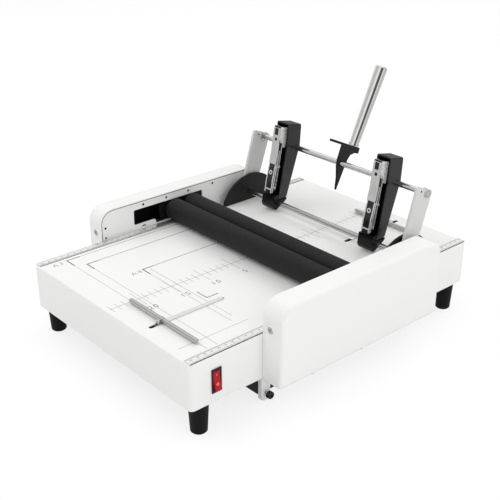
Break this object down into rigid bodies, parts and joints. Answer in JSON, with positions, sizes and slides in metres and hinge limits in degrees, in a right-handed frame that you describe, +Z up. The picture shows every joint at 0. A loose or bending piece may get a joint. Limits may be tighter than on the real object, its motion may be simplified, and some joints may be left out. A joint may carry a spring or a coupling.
{
  "type": "booklet maker",
  "caption": "Table-top booklet maker: flat table with paper stops, twin folding rollers, a fold knife and a swinging stapling frame with a lever handle.",
  "frame": {"origin": "centre of the footprint, on the plane the feet stand on", "axes": "+X towards the cover beside the mains switch, +Y from the front edge of the table to the rear, +Z up"},
  "size_m": [0.402, 0.493, 0.3223],
  "materials": {
    "painted_white": "fine powder coat",
    "painted_grey": "satin paint",
    "black_sheet": "satin black",
    "steel": "bright",
    "dark_steel": "darkened",
    "chrome": "polished",
    "roller_rubber": "matt",
    "foot_rubber": "matt",
    "stapler_black": "satin",
    "black_plastic": "satin",
    "red_plastic": "gloss",
    "gear_plastic": "moulded"
  },
  "bodies": {
    "base": {"base_shell": "painted_white", "bottom_plate": "black_sheet", "under_tray": "black_sheet", "foot_front_left": "foot_rubber", "foot_front_right": "foot_rubber", "foot_rear_left": "foot_rubber", "foot_rear_right": "foot_rubber", "side_cover_left": "painted_white", "side_cover_right": "painted_white", "inner_plate_left": "painted_white", "inner_plate_right": "painted_white", "carriage_guide_left": "steel", "carriage_guide_right": "steel", "edge_rule_left": "steel", "edge_rule_right": "steel", "switch_housing": "black_plastic", "power_inlet": "black_plastic", "anvil_left": "steel", "anvil_right": "steel", "knife_guide_left": "black_plastic", "knife_guide_right": "black_plastic", "shaft_stand": "black_sheet", "lift_gearmotor": "dark_steel", "pivot_bracket_left": "black_sheet", "pivot_bracket_right": "black_sheet", "clamp_bracket_left": "painted_white", "clamp_bracket_right": "painted_white"},
    "rocker": {"switch_rocker": "red_plastic"},
    "knife": {"knife_blade": "steel", "knife_carrier": "dark_steel"},
    "lift": {"lift_shaft": "steel", "lift_cam": "dark_steel"},
    "front_stop": {"front_stop_bar": "steel", "front_stop_strip": "steel"},
    "front_screw": {"front_stop_screw": "dark_steel"},
    "rear_stop": {"rear_stop_bar": "steel", "rear_stop_strip": "steel"},
    "rear_screw": {"rear_stop_screw": "dark_steel"},
    "carriage": {"carriage_bar_left": "steel", "carriage_bar_right": "steel"},
    "front_roll": {"front_roller": "roller_rubber", "front_roller_shaft": "steel", "front_roller_gear": "gear_plastic"},
    "rear_roll": {"rear_roller": "roller_rubber", "rear_roller_shaft": "steel", "rear_roller_gear": "gear_plastic"},
    "swing_frame": {"swing_lower_rod": "steel", "swing_upper_rod": "steel", "swing_arm_left": "painted_grey", "swing_arm_right": "painted_grey", "lever_bracket": "black_sheet", "handle_tube": "chrome", "stapler_cover_left": "stapler_black", "stapler_cover_right": "stapler_black", "stapler_end_left": "black_plastic", "stapler_end_right": "black_plastic"},
    "magazine_left": {"stapler_magazine_left": "chrome"},
    "magazine_right": {"stapler_magazine_right": "chrome"},
    "clamp_left": {"clamp_screw_left": "black_plastic"},
    "clamp_right": {"clamp_screw_right": "black_plastic"}
  },
  "joints": [
    {"name": "swing", "type": "hinge", "parent": "base", "child": "swing_frame", "pos_m": [0, 0.1225, 0.114], "axis": [1, 0, 0], "range_deg": [0, 99.5]},
    {"name": "carriage_slide", "type": "slide", "parent": "base", "child": "carriage", "axis": [0, -1, 0], "range_m": [0, 0.057]},
    {"name": "front_roller_spin", "type": "hinge", "parent": "carriage", "child": "front_roll", "pos_m": [0, -0.0146, 0.1189], "axis": [1, 0, 0], "continuous": true},
    {"name": "rear_roller_spin", "type": "hinge", "parent": "carriage", "child": "rear_roll", "pos_m": [0, 0.0176, 0.1189], "axis": [1, 0, 0], "continuous": true},
    {"name": "magazine_left_hinge", "type": "hinge", "parent": "swing_frame", "child": "magazine_left", "pos_m": [0, 0.1225, 0.114], "axis": [1, 0, 0], "range_deg": [-4, 0], "stiffness_Nm_per_rad": 0.6, "springref_deg": 6.88},
    {"name": "magazine_right_hinge", "type": "hinge", "parent": "swing_frame", "child": "magazine_right", "pos_m": [0, 0.1225, 0.114], "axis": [1, 0, 0], "range_deg": [-4, 0], "stiffness_Nm_per_rad": 0.6, "springref_deg": 6.88},
    {"name": "knife_slide", "type": "slide", "parent": "base", "child": "knife", "axis": [0, 0, 1], "range_m": [0, 0.012]},
    {"name": "lift_turn", "type": "hinge", "parent": "base", "child": "lift", "pos_m": [0, 0.0015, 0.0634], "axis": [1, 0, 0], "range_deg": [0, 180]},
    {"name": "front_stop_slide", "type": "slide", "parent": "base", "child": "front_stop", "axis": [0, 1, 0], "range_m": [-0.011, 0.066]},
    {"name": "front_screw_turn", "type": "hinge", "parent": "front_stop", "child": "front_screw", "pos_m": [0.071, -0.2171, 0.101], "axis": [0, 0, 1], "continuous": true},
    {"name": "rear_stop_slide", "type": "slide", "parent": "base", "child": "rear_stop", "axis": [0, -1, 0], "range_m": [-0.015, 0.066]},
    {"name": "rear_screw_turn", "type": "hinge", "parent": "rear_stop", "child": "rear_screw", "pos_m": [0.056, 0.2126, 0.101], "axis": [0, 0, 1], "continuous": true},
    {"name": "rocker_tilt", "type": "hinge", "parent": "base", "child": "rocker", "pos_m": [0.1685, -0.2095, 0.06825], "axis": [0, 1, 0], "range_deg": [0, 14]},
    {"name": "clamp_left_turn", "type": "hinge", "parent": "base", "child": "clamp_left", "pos_m": [-0.165, -0.1325, 0.0165], "axis": [1, 0, 0], "continuous": true},
    {"name": "clamp_right_turn", "type": "hinge", "parent": "base", "child": "clamp_right", "pos_m": [0.165, -0.1325, 0.0165], "axis": [1, 0, 0], "continuous": true}
  ],
  "couplings": [
    {"joint": "carriage_slide", "follows": "swing", "m_per_rad": 0.0328},
    {"joint": "rear_roller_spin", "follows": "front_roller_spin", "ratio": -1},
    {"joint": "lift_turn", "follows": "knife_slide", "rad_per_m": 261.79}
  ]
}
